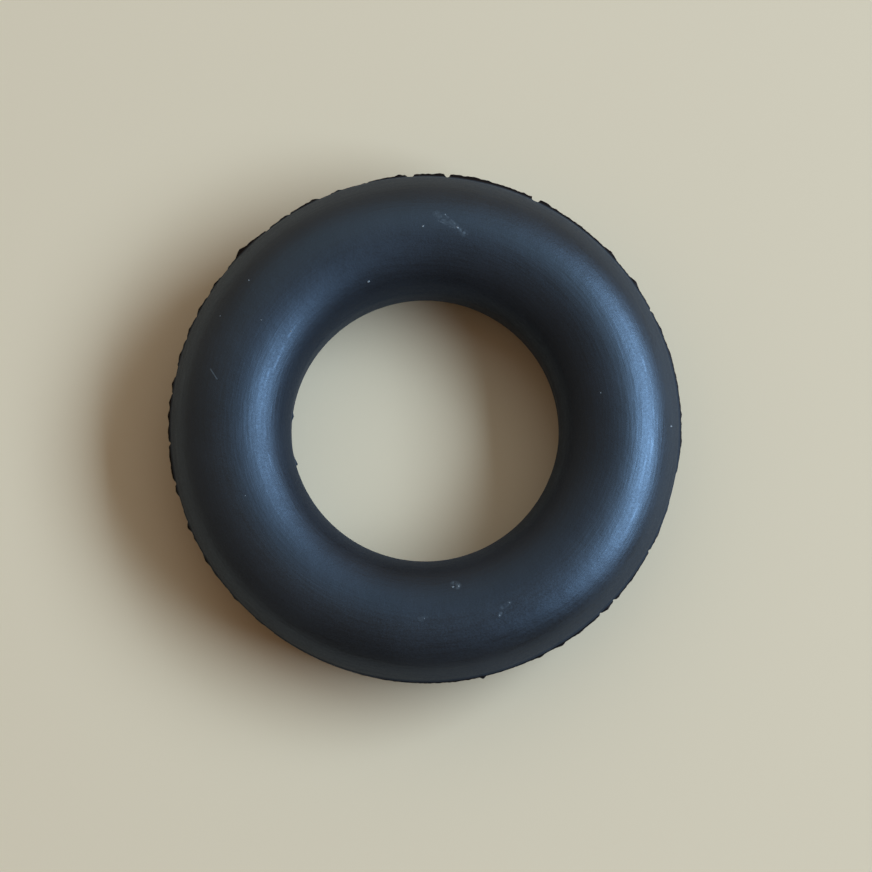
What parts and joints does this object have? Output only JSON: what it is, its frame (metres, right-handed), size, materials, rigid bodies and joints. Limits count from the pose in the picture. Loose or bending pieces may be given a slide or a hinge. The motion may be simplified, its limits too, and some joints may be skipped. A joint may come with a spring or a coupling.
{
  "type": "rubber grommet",
  "caption": "Soft black ring with a plain hole, two rounded flanges and a groove round its waist, for lining a hole in a sheet where a cable or pipe passes.",
  "frame": {"origin": "on the hole's axis, in the plane that the ring rests on", "axes": "+Z along the hole, out through the face of the wider flange, whose flash is torn; +X across the ring towards the place that the flash's angles are counted from"},
  "size_m": [0.0192, 0.0191, 0.0047],
  "materials": {
    "rubber": "black moulded rubber, satin with a very fine matte grain, faint pale scuffs and a few specks of dust, thin torn mould flash round the rim"
  },
  "bodies": {
    "root": {"grommet": "rubber"}
  },
  "joints": []
}
